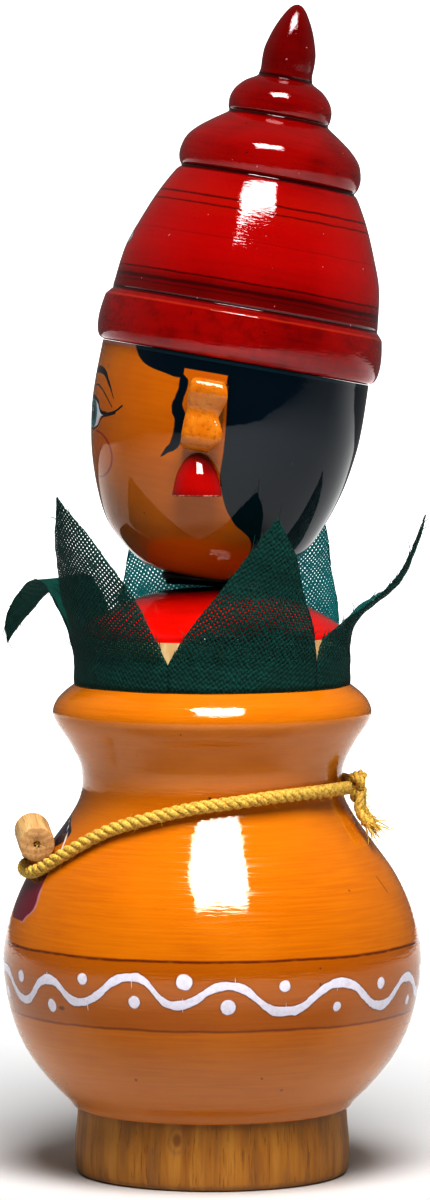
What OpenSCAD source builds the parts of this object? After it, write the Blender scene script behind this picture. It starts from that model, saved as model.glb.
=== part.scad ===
// Turned and lacquered wooden pot doll with a nodding head.
// A pot with a bare-wood foot holds a red domed shoulder plug. A coil spring set in the
// dome carries an egg-shaped head with a tall hat, glued ears and hanging earrings. A strip
// of green cloth cut into six leaves is glued round the shoulder, and a twisted rope with a
// small wooden dowel is tied round the throat of the pot.
// Millimetres, +Z up, the origin at the centre of the foot, the face towards -Y and the
// doll's left side towards +X.

/* [Pot] */
// Radius of the foot
foot_r = 23.9; // [23.4:0.1:24.2]
// Height of the bare foot, up to the lip of the lacquer
foot_h = 12; // [11:0.5:12.5]
// Radius of the belly at its widest
belly_r = 36.7; // [36.2:0.1:37.5]
// Height of the widest part of the belly
belly_z = 37.5; // [36.5:0.5:38.5]
// Radius of the throat
throat_r = 22.8; // [22:0.1:22.9]
// Radius of the rim
rim_r = 27.9; // [27:0.1:29]
// Height of the flat top of the rim
rim_z = 86; // [85.6:0.1:86.6]

/* [Shoulder plug] */
// Radius of the bare wooden ledge
ledge_r = 24; // [23.5:0.1:24]
// Height of the ledge above the rim
ledge_h = 9; // [8.5:0.5:10]
// Height of the red dome above the ledge
dome_h = 8.3; // [7:0.1:8.3]
// Radius of the spigot glued in the mouth of the pot
spigot_r = 15; // [10:1:18]
// Depth of the spigot
spigot_h = 15; // [10:1:20]

/* [Neck] */
// Distance of the neck in front of the pot's axis
neck_forward = 2.6; // [2:0.1:3]
// Height of the point about which the neck bends
neck_z = 103.8; // [103.7:0.1:104.2]
// Gap between that point and the underside of the head
neck_gap = 0.8; // [0.7:0.1:2]
// Backward lean of the head at rest, in degrees
head_lean = 9.5; // [0:0.1:10]
// Lean of the head to the doll's right at rest, in degrees
side_lean = 3.2; // [0:0.1:3.5]
// Radius of the coils at the middle of the wire
coil_r = 5.8; // [5.5:0.1:5.9]
// Diameter of the spring wire
wire_d = 1.2; // [0.8:0.1:1.3]
// Number of turns of the spring
coil_turns = 10; // [8:1:11]

/* [Head and hat] */
// Radius of the head at its widest
head_r = 23.7; // [23:0.1:24]
// Height of the head below the hat
head_h = 38.2; // [37.5:0.1:38.5]
// Radius of the hat's brim
brim_r = 25; // [24.6:0.1:25.5]
// Height of the hat from brim to tip
hat_h = 63.2; // [63.1:0.1:64]

/* [Ears and earrings] */
// Height of an ear
ear_h = 12.5; // [12:0.1:13]
// How far an ear stands out of the head
ear_out = 3.8; // [3:0.1:4.2]
// Half width of an earring at its lower edge
earring_r = 4.35; // [4:0.05:4.4]
// Height of an earring
earring_h = 7.4; // [7:0.1:7.6]

/* [Leaf collar] */
// Thickness of the cloth
cloth_t = 0.45; // [0.3:0.05:0.5]
// Height of the band below the leaves
band_h = 4.2; // [3:0.1:6]

/* [Rope and dowel] */
// Diameter of the rope
rope_d = 2.4; // [2:0.1:2.5]
// Diameter of the dowel
dowel_d = 6.2; // [5.5:0.1:6.2]
// Length of the dowel
dowel_l = 12; // [10:0.5:12]
// Diameter of the yarn through the dowel
yarn_d = 0.9; // [0.6:0.1:1]

/* [Hidden] */

AMBER = [0.84, 0.49, 0.06];
RED = [0.72, 0.02, 0.02];
BARE_WOOD = [0.80, 0.60, 0.33];
CLOTH_GREEN = [0.02, 0.30, 0.24];
ROPE_YELLOW = [0.80, 0.62, 0.22];
STEEL = [0.18, 0.18, 0.19];
BRASS = [0.75, 0.58, 0.25];

socket_r = coil_r + wire_d / 2 + 0.5;      // bores that take the spring
dome_top = rim_z + ledge_h + dome_h;
socket_floor = 92.6;                         // bottom of the spring's bore in the shoulder plug
head_socket = 12;                          // depth of the spring's bore in the head
neck_plug_r = coil_r - wire_d / 2 - 0.2;
tenon_r = 14;                              // tenon on the head, glued in the hat
tenon_h = 10;
glue = 0.05;                               // glue line round spigots and tenons
ear_s = 22;                                // height of an ear's lower end up the head
pin_r = 0.4;                               // earring pin
pin_run = 0.05;                            // clearance of an earring on its pin
pin_out = 1.2;                             // length of pin that an earring hangs on
pin_at = [22.9, 0.4, 20.5];                // where an earring hangs, on the upright head
earring_cut = 1.5;                         // flat back of an earring, off its own axis
dowel_at = [10.6, -29.6, 59.5];            // middle of the dowel
dowel_turn = [0, 6.5, 16];                 // dip and yaw of the dowel
dowel_bore = yarn_d / 2 + 0.15;

// ---- curves ----

// Point between b and c on the smooth curve through a, b, c and d
function between(a, b, c, d, t) =
    0.5 * (2 * b + (c - a) * t + (2 * a - 5 * b + 4 * c - d) * t * t
           + (3 * b - a - 3 * c + d) * t * t * t);

// Smooth curve through every point of a list
function smooth(p, steps = 6) =
    [for (i = [0 : len(p) - 2], k = [0 : steps - 1])
        between(p[max(i - 1, 0)], p[i], p[i + 1], p[min(i + 2, len(p) - 1)], k / steps),
     p[len(p) - 1]];

// Outlines are lists of [radius, height]
foot_outline = [[foot_r - 0.8, 0], [foot_r - 0.25, 0.2], [foot_r, 0.8],
                [foot_r + 0.2, 3.5], [foot_r - 0.1, 8.5], [foot_r - 0.3, foot_h - 0.2]];
belly_outline = smooth([[foot_r + 0.2, foot_h], [28.2, 16.1], [31.8, 20.6], [34.5, 25.9],
                        [36.1, 31.9], [belly_r, belly_z], [36.1, 42.6], [34.4, 48],
                        [31.9, 53], [28.3, 58], [25, 62.6], [23.2, 66], [throat_r, 69],
                        [23.2, 72.2], [25.2, 76.1], [27.2, 79.1], [rim_r, 81.1]]);
rim_outline = smooth([[rim_r, 81.1], [27.3, 83], [26, 84.5], [24.1, rim_z]]);
head_outline = smooth([[socket_r + 0.1, 0.2], [9.2, 0.6], [11, 1.5], [13.6, 3.4], [17.3, 7], [20, 12.2],
                       [22.2, 18.8], [23.4, 25.6], [head_r, 31], [23.55, head_h]]);
// Heights on the hat are measured from the top of the head
brim_outline = smooth([[23.6, 0], [24.6, 0.9], [brim_r, 3.4], [24.8, 6], [24.4, 8], [23.7, 9]]);
crown_outline = smooth([[23.5, 9.7], [22.5, 16.6], [20.7, 21.8], [18.5, 27], [15.4, 32.3]]);
tier_outline = smooth([[15.4, 32.3], [15.9, 35.4], [13.9, 39.3], [11.4, 41.2], [8.8, 43]]);
small_tier_outline = smooth([[8.8, 43], [8.95, 45.2], [8.3, 47], [6.9, 48.6], [4.9, 50]]);
bud_outline = smooth([[4.9, 50], [4.55, 51.3], [4.62, 53], [4.54, 54.8], [4.1, 56.6],
                      [3.5, 58.4], [2.7, 60.2], [1.65, 62], [0.8, 62.9], [0, hat_h]]);

// ---- placing ----

// Puts a piece that is drawn upright, with the underside of the head at zero, on the leaning neck
module on_head() {
    translate([0, -neck_forward, neck_z])
        rotate([0, -side_lean, 0])
            rotate([-head_lean, 0, 0])
                translate([0, 0, neck_gap])
                    children();
}

// A point of the upright head, moved to where the leaning head has it
function lean_back(p) =
    [p[0], p[1] * cos(head_lean) + p[2] * sin(head_lean),
     p[2] * cos(head_lean) - p[1] * sin(head_lean)];
function lean_aside(p) =
    [p[0] * cos(side_lean) - p[2] * sin(side_lean), p[1],
     p[0] * sin(side_lean) + p[2] * cos(side_lean)];
function head_place(p) =
    [0, -neck_forward, neck_z] + lean_aside(lean_back(p + [0, 0, neck_gap]));

module at_dowel() {
    translate(dowel_at)
        rotate([0, 0, dowel_turn[2]])
            rotate([0, dowel_turn[1], 0])
                children();
}

// Draws the doll's left side and moves it to the right side for side = -1
module to_side(side) {
    mirror([side < 0 ? 1 : 0, 0, 0]) children();
}

module turned(outline) {
    rotate_extrude($fn = 96) polygon(outline);
}

// ---- swept tubes ----

function unit(v) = v / norm(v);

// Direction of a path at one of its points
function heading(path, i) =
    unit(path[min(i + 1, len(path) - 1)] - path[max(i - 1, 0)]);

// Closed tube of one thickness along a path that never runs straight up
module tube(path, d, sides) {
    n = len(path);
    points = [for (i = [0 : n - 1])
        let (along = heading(path, i), across = unit(cross(along, [0, 0, 1])),
             over = cross(across, along))
        for (k = [0 : sides - 1])
            path[i] + d / 2 * (cos(360 * k / sides) * across + sin(360 * k / sides) * over)];
    walls = [for (i = [0 : n - 2], k = [0 : sides - 1])
        let (a = i * sides + k, b = i * sides + (k + 1) % sides)
        each [[a, b, b + sides], [a, b + sides, a + sides]]];
    caps = [[for (k = [sides - 1 : -1 : 0]) k],
            [for (k = [0 : sides - 1]) (n - 1) * sides + k]];
    polyhedron(points, concat(walls, caps), convexity = 10);
}

// ---- body ----

module pot() {
    color(AMBER)
        difference() {
            turned(concat([[0, 0]], foot_outline, belly_outline, rim_outline, [[0, rim_z]]));
            translate([0, 0, rim_z - spigot_h - 1])
                cylinder(r = spigot_r + glue, h = spigot_h + 2, $fn = 96);
        }
}

module shoulder_plug() {
    ledge_top = rim_z + ledge_h;
    dome_radius = (ledge_r * ledge_r + dome_h * dome_h) / (2 * dome_h);
    dome = [for (k = [0 : 12])
        let (a = asin(ledge_r / dome_radius) * (1 - k / 12))
        [dome_radius * sin(a), dome_top - dome_radius * (1 - cos(a))]];
    color(RED)
        difference() {
            turned(concat([[0, rim_z - spigot_h], [spigot_r, rim_z - spigot_h],
                           [spigot_r, rim_z], [ledge_r, rim_z]],
                          dome));
            translate([0, -neck_forward, socket_floor])
                cylinder(r = socket_r, h = dome_top, $fn = 64);
        }
}

// Each leaf is a list of stations from the top of the band to its tip: [bearing of one edge, of
// the other edge, radius, height]. Bearings run round from the doll's left side.
inner_r = ledge_r + 0.05;
band_low = rim_z + 0.6;
band_top = band_low + band_h;
leaves = [
    [[-71.5, -8.4, inner_r, band_top], [-72, -15.7, 25.7, 98], [-71, -24, 27.3, 105],
     [-62, -36.5, 28.6, 112], [-53.5, -53.1, 29.9, 119.3]],
    [[-8.4, 58.5, inner_r, band_top], [1, 54.7, 24.7, 97], [14, 48.2, 25.2, 104],
     [24.5, 43.4, 25.8, 110], [34.7, 35.3, 26.2, 115.9]],
    [[58.5, 118, inner_r, band_top], [62.5, 116, 24.15, 94.6], [78, 113, 25.6, 98.2],
     [85, 107, 31.2, 102.6], [87, 98, 35.2, 109], [87.8, 88.2, 37.8, 116]],
    [[118, 178, inner_r, band_top], [126, 173, 24.8, 98], [136, 167, 26.3, 105.5],
     [145, 160, 28.6, 112.5], [152.8, 153.2, 31, 118.5]],
    [[178, 237, inner_r, band_top], [183, 232, 24.8, 98], [192, 226.5, 26, 105.5],
     [203, 219.5, 28, 112], [211.8, 212.2, 29.5, 117.5]],
    [[237, 288.5, inner_r, band_top], [236, 286, 26.4, 98.5], [237, 280, 30.5, 103.8],
     [245, 272, 34.6, 101.2], [253, 267, 37.1, 96.6], [260.9, 261.1, 38.4, 92.3]]];

// One leaf with its stretch of the band: a bent sheet that narrows to its tip
module leaf(stations) {
    foot = [stations[0][0], stations[0][1], inner_r, band_low];
    spine = concat([foot], smooth(stations, 3));
    last = len(spine) - 1;
    columns = 8;
    function slope(row) =
        let (from = spine[row - 1], to = spine[min(row + 1, last)])
        row <= 1 ? [0, 1] : unit([to[2] - from[2], to[3] - from[3]]);
    function place(c, row, skin) =
        let (at = spine[row], way = slope(row),
             r = at[2] + skin * cloth_t * way[1], z = at[3] - skin * cloth_t * way[0],
             bearing = at[0] + (at[1] - at[0]) * c / columns)
        [r * cos(bearing), r * sin(bearing), z];
    across = columns + 1;
    sheet = (last + 1) * across;
    points = [for (skin = [0, 1], row = [0 : last], c = [0 : columns]) place(c, row, skin)];
    faces = concat(
        [for (row = [0 : last - 1], c = [0 : columns - 1])
            let (a = row * across + c)
            each [[a, a + 1, a + across + 1], [a, a + across + 1, a + across]]],
        [for (row = [0 : last - 1], c = [0 : columns - 1])
            let (a = sheet + row * across + c)
            each [[a, a + across + 1, a + 1], [a, a + across, a + across + 1]]],
        [for (row = [0 : last - 1])
            let (a = row * across, b = a + columns)
            each [[a, a + across, a + across + sheet], [a, a + across + sheet, a + sheet],
                  [b, b + across + sheet, b + across], [b, b + sheet, b + across + sheet]]],
        [for (c = [0 : columns - 1])
            let (a = c, b = last * across + c)
            each [[a, a + sheet + 1, a + 1], [a, a + sheet, a + sheet + 1],
                  [b, b + 1, b + 1 + sheet], [b, b + 1 + sheet, b + sheet]]]);
    polyhedron(points, faces, convexity = 10);
}

module leaf_collar() {
    color(CLOTH_GREEN)
        for (stations = leaves) leaf(stations);
}

// ---- neck ----

// Point on the spring: upright below its bend, and leaning with the head above it
function coil_point(l, a) =
    let (ring = [coil_r * cos(a), coil_r * sin(a), l])
    l < 0 ? [0, -neck_forward, neck_z] + ring : head_place(ring - [0, 0, neck_gap]);

module neck_spring() {
    low = socket_floor - neck_z + wire_d / 2 + 0.05;
    high = neck_gap + head_socket - wire_d / 2 - 0.3;
    per_turn = 14;
    n = coil_turns * per_turn;
    path = [for (i = [0 : n]) coil_point(low + (high - low) * i / n, 360 * i / per_turn)];
    color(STEEL) tube(path, wire_d, 6);
}

module neck_plug() {
    color(BARE_WOOD)
        on_head()
            translate([0, 0, 2])
                cylinder(r = neck_plug_r, h = head_socket - 2 - glue, $fn = 48);
}

// ---- head ----

module head_blank() {
    turned(concat([[0, 0.2]], head_outline, [[0, head_h]]));
}

module head() {
    color(AMBER)
        on_head()
            difference() {
                union() {
                    head_blank();
                    translate([0, 0, head_h - 1])
                        cylinder(r = tenon_r, h = tenon_h + 1, $fn = 64);
                }
                translate([0, 0, -1]) cylinder(r = socket_r, h = head_socket + 1, $fn = 64);
                for (side = [1, -1])
                    to_side(side) along_pin(pin_r + 0.01, pin_at[0] - 6, pin_at[0] + 1);
            }
}

module hat() {
    color(RED)
        on_head()
            translate([0, 0, head_h])
                difference() {
                    turned(concat([[0, 0]], brim_outline, crown_outline, tier_outline,
                                  small_tier_outline, bud_outline));
                    translate([0, 0, -1])
                        cylinder(r = tenon_r + glue, h = tenon_h + 1.2, $fn = 64);
                }
}

// Two beads with a hollow between them, seen from the front: [out of the head, up]
ear_outline = concat(
    [[-3, 0], [1.6, 0]],
    smooth([[1.6, 0], [3.1, 0.9], [3.5, 2.6], [2.7, 4.8], [2.2, 6.4], [2.8, 8],
            [ear_out, 9.6], [ear_out - 0.2, 11.4], [2.4, 12.6], [0.8, ear_h]]),
    [[-3, ear_h]]);

module ear(side) {
    color(AMBER)
        on_head()
            to_side(side)
                difference() {
                    translate([23.3, 4.3, ear_s])
                        rotate([90, 0, 0])
                            linear_extrude(height = 7.2) polygon(ear_outline);
                    // the rear end slants outwards and back
                    translate([23.3, 2.9, ear_s - 1])
                        rotate([0, 0, -24])
                            translate([-8, 0, 0]) cube([20, 10, ear_h + 2]);
                    head_blank();
                }
}

// Round bar along an earring's pin, on the upright head
module along_pin(r, from, to) {
    translate([from, pin_at[1], pin_at[2]])
        rotate([0, 90, 0])
            cylinder(r = r, h = to - from, $fn = 24);
}

module earring_pin(side) {
    color(BRASS)
        on_head()
            to_side(side)
                along_pin(pin_r, pin_at[0] - 5.9, pin_at[0] + pin_out);
}

// Outline of an earring: [radius, height above its lower edge]
function earring_radius(half_w) = sqrt(half_w * half_w + earring_cut * earring_cut);
earring_outline = concat(
    [[0, 0]],
    smooth([[earring_radius(earring_r), 0], [earring_radius(4.1), 1.9],
            [earring_radius(3.7), 3.8], [earring_radius(2.8), 5.8],
            [earring_radius(1.3), 7.1], [earring_cut, earring_h]]),
    [[0, earring_h]]);

// An earring hangs plumb, so it leans aside with its pin but not back with the head
module earring(side) {
    drop = 6.3;                            // pin above the lower edge
    back = 0.4;                            // flat back, outside the place of the pin
    color(RED)
        translate(head_place([side * pin_at[0], pin_at[1], pin_at[2]]))
            rotate([0, -side_lean, 0])
                to_side(side)
                    difference() {
                        translate([back - earring_cut, 0, -drop]) turned(earring_outline);
                        translate([back - 10, -10, -10]) cube([10, 20, 20]);
                        rotate([0, 90, 0])
                            cylinder(r = pin_r + pin_run, h = 2 * pin_out + 0.2, center = true,
                                     $fn = 24);
                    }
}

// ---- rope and dowel ----

// Stations of the rope's middle: [degrees round from the front, radius, height]
rope_stations = [[0, 32.9, 53.8], [14, 32.95, 53.7], [26, 32.8, 53.8], [34, 32.1, 55],
                 [43, 29.95, 57.9], [58, 27, 62], [75, 25.4, 64.5], [92, 24.5, 66.3],
                 [109, 24.25, 67.3], [127, 24.15, 68.1], [148, 24.15, 68.4], [165, 24.3, 68.4],
                 [173.5, 24.6, 68.3]];

function rope_place(s, side) =
    [side * s[1] * sin(s[0]), -s[1] * cos(s[0]), s[2]];

rope_route = concat(
    [for (i = [len(rope_stations) - 1 : -1 : 0]) rope_place(rope_stations[i], 1)],
    [for (i = [1 : len(rope_stations) - 1]) rope_place(rope_stations[i], -1)]);

module neck_rope() {
    color(ROPE_YELLOW) tube(smooth(rope_route, 2), rope_d, 8);
}

module rope_knot() {
    color(ROPE_YELLOW)
        translate([0, 26, 68.2])
            sphere(r = 2.4, $fn = 32);
}

module rope_tails() {
    color(ROPE_YELLOW)
        for (side = [1, -1])
            tube(smooth([[side * 1.3, 26.6, 65.4], [side * 2.4, 27, 63.5],
                         [side * 3.2, 28.3, 61.2], [side * 3.8, 30.3, 58.8]], 2), rope_d, 8);
}

module dowel_yarn() {
    yarn_drop = 7.2;                       // from the dowel's bore to under the rope
    reach = dowel_l / 2 + 0.8;
    color(ROPE_YELLOW)
        at_dowel()
            tube([[reach - 2, 0, 0], [0, 0, 0], [-reach, 0, 0],
                  [-reach - 0.5, -0.6, -1.4], [-reach - 0.3, -1.6, -yarn_drop + 2]],
                 yarn_d, 8);
}

module dowel() {
    color(BARE_WOOD)
        at_dowel()
            rotate([0, 90, 0])
                difference() {
                    cylinder(d = dowel_d, h = dowel_l, center = true, $fn = 64);
                    cylinder(r = dowel_bore, h = dowel_l + 2, center = true, $fn = 24);
                }
}

pot();
shoulder_plug();
leaf_collar();
neck_spring();
neck_plug();
head();
hat();
ear(1);  // left_ear
ear(-1);  // right_ear
earring_pin(1);  // left_earring_pin
earring_pin(-1);  // right_earring_pin
earring(1);  // left_earring
earring(-1);  // right_earring
neck_rope();
rope_knot();
rope_tails();
dowel_yarn();
dowel();
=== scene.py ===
"""Turned and lacquered wooden pot doll with a nodding head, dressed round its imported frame.

Turned pieces are closed lathe meshes, drawn upright as lists of (radius, height) in
millimetres, and the head's own pieces are then set on its leaning neck. Painted decoration is
worked out in the materials from each piece's own millimetres: turn (degrees round the axis),
rise (height) and r (radius).
"""
import math
import random

import bmesh
import bpy
import numpy as np
from mathutils import Matrix, Vector


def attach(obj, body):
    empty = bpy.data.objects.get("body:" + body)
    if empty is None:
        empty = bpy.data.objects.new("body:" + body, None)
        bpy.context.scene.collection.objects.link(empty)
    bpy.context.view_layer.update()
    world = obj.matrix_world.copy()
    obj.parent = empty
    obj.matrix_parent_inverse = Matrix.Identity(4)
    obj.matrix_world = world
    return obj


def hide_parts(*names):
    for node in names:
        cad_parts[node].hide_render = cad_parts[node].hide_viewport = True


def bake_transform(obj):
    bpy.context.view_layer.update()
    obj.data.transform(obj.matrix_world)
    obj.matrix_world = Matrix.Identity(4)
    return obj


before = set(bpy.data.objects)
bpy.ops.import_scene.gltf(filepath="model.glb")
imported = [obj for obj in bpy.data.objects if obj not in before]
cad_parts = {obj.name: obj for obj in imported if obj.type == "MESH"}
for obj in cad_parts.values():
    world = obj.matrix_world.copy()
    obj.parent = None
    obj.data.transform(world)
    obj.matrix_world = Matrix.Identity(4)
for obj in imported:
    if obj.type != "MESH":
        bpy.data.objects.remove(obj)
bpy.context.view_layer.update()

MM = 0.001
UP = Vector((0, 0, 1))
CAMERA_BEARING = 10         # degrees from the x axis towards y


def add(name, data):
    """Puts a mesh, lamp or camera into the scene as an object."""
    obj = bpy.data.objects.new(name, data)
    bpy.context.scene.collection.objects.link(obj)
    return obj


# ---- camera ----

def make_camera():
    """A long lens, nearly level, that looks past the doll's left side."""
    bearing, distance = math.radians(CAMERA_BEARING), 1.030
    aim_height, height, shift = 0.1006, 0.167, 0.0005
    aside = Vector((-math.sin(bearing), math.cos(bearing), 0)) * shift
    place = Vector((math.cos(bearing) * distance, math.sin(bearing) * distance, height)) + aside
    aim = aside + UP * aim_height
    lens = bpy.data.cameras.new("camera")
    lens.lens, lens.sensor_width = 177, 36
    lens.clip_start, lens.clip_end = 0.05, 20
    camera = add("camera", lens)
    camera.location = place
    camera.rotation_euler = (aim - place).to_track_quat("-Z", "Y").to_euler()
    bpy.context.scene.camera = camera


# ---- curves and meshes ----

def smooth(points, steps):
    """A smooth curve through every point of a list, steps pieces to each stretch."""
    p = [np.array(q, float) for q in points]
    p = [p[0]] + p + [p[-1]]
    curve = []
    for a, b, c, d in zip(p, p[1:], p[2:], p[3:]):
        for t in (k / steps for k in range(steps)):
            bend = (2 * a - 5 * b + 4 * c - d) * t * t + (3 * b - a - 3 * c + d) * t ** 3
            curve.append(0.5 * (2 * b + (c - a) * t + bend))
    return [tuple(q) for q in curve] + [tuple(p[-1])]


def angles(columns):
    return [2 * math.pi * k / columns for k in range(columns)]


def mesh_of(name, points, faces):
    """A mesh from points in millimetres."""
    mesh = bpy.data.meshes.new(name)
    mesh.from_pydata([tuple(c * MM for c in p) for p in points], [], faces)
    return mesh


def merge(mesh, distance, outward=False):
    """Joins points closer than a distance, in metres, and can turn every face outward."""
    bm = bmesh.new()
    bm.from_mesh(mesh)
    bmesh.ops.remove_doubles(bm, verts=bm.verts, dist=distance)
    if outward:
        bmesh.ops.recalc_face_normals(bm, faces=bm.faces)
    bm.to_mesh(mesh)
    bm.free()


def piece(name, points, faces, body, slot, replaces=(), place=None, sharp=35):
    """A mesh in millimetres, set in place, that rides on a body and stands for CAD nodes."""
    mesh = mesh_of(name, points, faces)
    merge(mesh, 1e-7, outward=True)
    mesh.shade_smooth()
    mesh.set_sharp_from_angle(angle=math.radians(sharp))
    obj = add(name, mesh)
    if place is not None:
        obj.matrix_world = place
    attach(obj, body)
    if replaces:
        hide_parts(*replaces)
    return obj


def lathe(outline, columns=192):
    """Points and faces of a solid turned about Z, from an outline with both ends on the axis."""
    points, faces, rows = [], [], []
    for r, z in outline:
        if r < 1e-6:
            rows.append([len(points)] * columns)
            points.append((0, 0, z))
            continue
        rows.append(range(len(points), len(points) + columns))
        points += [(r * math.cos(a), r * math.sin(a), z) for a in angles(columns)]
    for low, high in zip(rows, rows[1:]):
        for k in range(columns):
            n = (k + 1) % columns
            ring = [low[k], low[n], high[n], high[k]]
            faces.append([v for i, v in enumerate(ring) if v not in ring[:i]])
    return points, [f for f in faces if len(f) > 2]


def paint_piece(obj, materials, choose=lambda centre: 0):
    """Gives a piece its materials; choose picks one for each face from its middle, in mm."""
    obj.data.materials.clear()
    for material in materials:
        obj.data.materials.append(material)
    for face in obj.data.polygons:
        face.material_index = choose(face.center / MM)


def framed(path):
    """(place, across, over) along a path, carried round its bends without twisting."""
    path = [np.array(p, float) for p in path]
    across = None
    for i, place in enumerate(path):
        along = path[min(i + 1, len(path) - 1)] - path[max(i - 1, 0)]
        along = along / np.linalg.norm(along)
        if across is None:
            across = np.cross(along, (0.3, 0.2, 1.0))
        across = across - along * (across @ along)
        across = across / np.linalg.norm(across)
        yield place, across, np.cross(along, across)


def tube(path, radius, sides=8):
    """Points and faces of a closed tube; radius may be a number or one for each place."""
    points, faces = [], []
    count = len(path)
    radii = [radius] * count if np.isscalar(radius) else radius
    for i, (place, across, over) in enumerate(framed(path)):
        for a in angles(sides):
            points.append(tuple(place + radii[i] * (math.cos(a) * across + math.sin(a) * over)))
    for i in range(count - 1):
        for k in range(sides):
            n = (k + 1) % sides
            faces.append((i * sides + k, i * sides + n, (i + 1) * sides + n, (i + 1) * sides + k))
    faces.append(tuple(range(sides))[::-1])
    faces.append(tuple((count - 1) * sides + k for k in range(sides)))
    return points, faces


def scatter(rng, spread=1):
    """A random step, as likely one way as another."""
    return np.array([rng.gauss(0, spread) for _ in range(3)])


def joined(parts):
    """Several (points, faces) as one."""
    points, faces = [], []
    for more, theirs in parts:
        faces += [tuple(v + len(points) for v in f) for f in theirs]
        points += more
    return points, faces


def resampled(path, step):
    """The same path with evenly spaced points."""
    path = np.array(path, float)
    reach = np.concatenate([[0], np.cumsum(np.linalg.norm(np.diff(path, axis=0), axis=1))])
    stops = np.linspace(0, reach[-1], max(int(reach[-1] / step), 4))
    return np.stack([np.interp(stops, reach, path[:, k]) for k in range(3)], 1)


def twisted(path, diameter, plies, turn_length, sides, step, start=0.0):
    """Twisted plies of yarn along a path, each ply itself slightly lumpy."""
    route = resampled(path, step)
    share = 0.52 if plies == 3 else 0.5
    ply_r = diameter / 2 * share
    offset = diameter / 2 - ply_r
    strands = [[] for _ in range(plies)]
    for i, (place, across, over) in enumerate(framed(route)):
        for k in range(plies):
            a = start + 2 * math.pi * (i * step / turn_length + k / plies)
            strands[k].append(place + offset * (math.cos(a) * across + math.sin(a) * over))
    return joined([tube(s, ply_r, sides) for s in strands])


# ---- materials ----

class Field:
    """A number that changes over a surface, made of shader nodes, with ordinary arithmetic."""

    def __init__(self, tree, out):
        self.tree, self.out = tree, out

    def act(self, operation, *others):
        node = self.tree.nodes.new("ShaderNodeMath")
        node.operation = operation
        for socket, value in zip(node.inputs, (self,) + others):
            if isinstance(value, Field):
                self.tree.links.new(value.out, socket)
            else:
                socket.default_value = value
        return Field(self.tree, node.outputs[0])

    def __add__(self, other):
        return self.act("ADD", other)

    def __sub__(self, other):
        return self.act("SUBTRACT", other)

    def __mul__(self, other):
        return self.act("MULTIPLY", other)

    def __truediv__(self, other):
        return self.act("DIVIDE", other)

    def __neg__(self):
        return self.act("MULTIPLY", -1.0)

    def __rsub__(self, other):
        return (-self) + other

    def size(self):
        return self.act("ABSOLUTE")

    def low(self, other):
        return self.act("MINIMUM", other)

    def high(self, other):
        return self.act("MAXIMUM", other)

    def below(self, edge, soft=0.08):
        """1 where this is under edge, 0 over it, with an edge 2 * soft wide."""
        node = self.tree.nodes.new("ShaderNodeMapRange")
        node.interpolation_type = "SMOOTHSTEP"
        self.tree.links.new((self - edge).out, node.inputs["Value"])
        for name, value in (("From Min", -soft), ("From Max", soft), ("To Min", 1), ("To Max", 0)):
            node.inputs[name].default_value = value
        return Field(self.tree, node.outputs[0])

    def above(self, edge, soft=0.08):
        return 1 - self.below(edge, soft)

    def between(self, low, high, soft=0.08):
        return self.above(low, soft) * self.below(high, soft)

    def curve(self, points, straight=False):
        """The smooth or straight-sided curve through (this, value) points, run on past its ends."""
        xs, ys = zip(*points)
        x0, x1, y0, y1 = min(xs), max(xs), min(ys), max(ys) + 1e-6
        node = self.tree.nodes.new("ShaderNodeFloatCurve")
        self.tree.links.new(((self - x0) / (x1 - x0)).out, node.inputs["Value"])
        line = node.mapping.curves[0]
        while len(line.points) < len(points):
            line.points.new(0.5, 0.5)
        for dot, (x, y) in zip(line.points, sorted(points)):
            dot.location = ((x - x0) / (x1 - x0), (y - y0) / (y1 - y0))
            dot.handle_type = "VECTOR" if straight else "AUTO_CLAMPED"
        node.mapping.update()
        return Field(self.tree, node.outputs[0]) * (y1 - y0) + y0


def xyz(tree, vector):
    """The three numbers of a vector, as fields."""
    split = tree.nodes.new("ShaderNodeSeparateXYZ")
    tree.links.new(vector, split.inputs[0])
    return [Field(tree, out) for out in split.outputs]


def reach(across, over):
    """The distance of a point that is so far across and so far over."""
    return (across * across + over * over).act("SQRT")


def off_line(value, along, points):
    """How far a value is from a curve drawn through (along, value) points."""
    return (value - along.curve(points)).size()


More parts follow.
